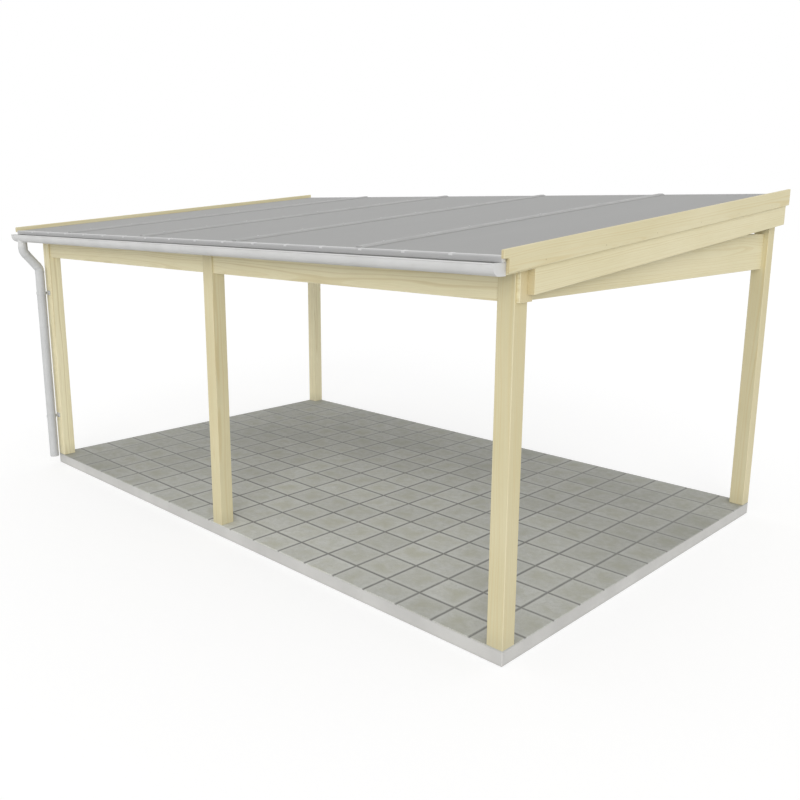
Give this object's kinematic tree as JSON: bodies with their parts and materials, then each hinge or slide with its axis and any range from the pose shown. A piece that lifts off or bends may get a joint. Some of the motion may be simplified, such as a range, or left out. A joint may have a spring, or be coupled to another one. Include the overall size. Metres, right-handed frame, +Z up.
{
  "type": "sunroom frame",
  "caption": "Open lean-to timber frame on a tiled floor slab, with a low pent roof of translucent panels, a gutter and a downpipe.",
  "frame": {"origin": "middle of the floor slab's footprint, on the ground", "axes": "+X to the right along the eaves side, +Y from the eaves to the house side, +Z up"},
  "size_m": [5.802, 3.8215, 2.7289],
  "materials": {
    "slab": "matt",
    "timber": "planed",
    "roof_panel": "satin",
    "profile": "mill",
    "rainwater": "satin"
  },
  "bodies": {
    "root": {"floor_slab": "slab", "post_front_left": "timber", "post_front_middle": "timber", "post_front_right": "timber", "post_back_left": "timber", "post_back_right": "timber", "front_beam": "timber", "back_beam": "timber", "side_beam_left": "timber", "side_beam_right": "timber", "rafter_1": "timber", "rafter_2": "timber", "rafter_3": "timber", "rafter_4": "timber", "rafter_5": "timber", "rafter_6": "timber", "rafter_packer_left": "timber", "rafter_packer_right": "timber", "roof_panel_1": "roof_panel", "roof_panel_2": "roof_panel", "roof_panel_3": "roof_panel", "roof_panel_4": "roof_panel", "roof_panel_5": "roof_panel", "glazing_bar_1": "profile", "glazing_bar_2": "profile", "glazing_bar_3": "profile", "glazing_bar_4": "profile", "bargeboard_left": "timber", "bargeboard_right": "timber", "eaves_profile": "profile", "ridge_profile": "profile", "gutter_front": "rainwater", "gutter_sole": "rainwater", "gutter_back": "rainwater", "gutter_end_left": "rainwater", "gutter_end_right": "rainwater", "gutter_hangers": "rainwater", "gutter_outlet": "rainwater", "downpipe_bend_upper": "rainwater", "downpipe_slant": "rainwater", "downpipe_bend_lower": "rainwater", "downpipe": "rainwater", "pipe_clip_upper": "rainwater", "pipe_clip_lower": "rainwater"}
  },
  "joints": []
}
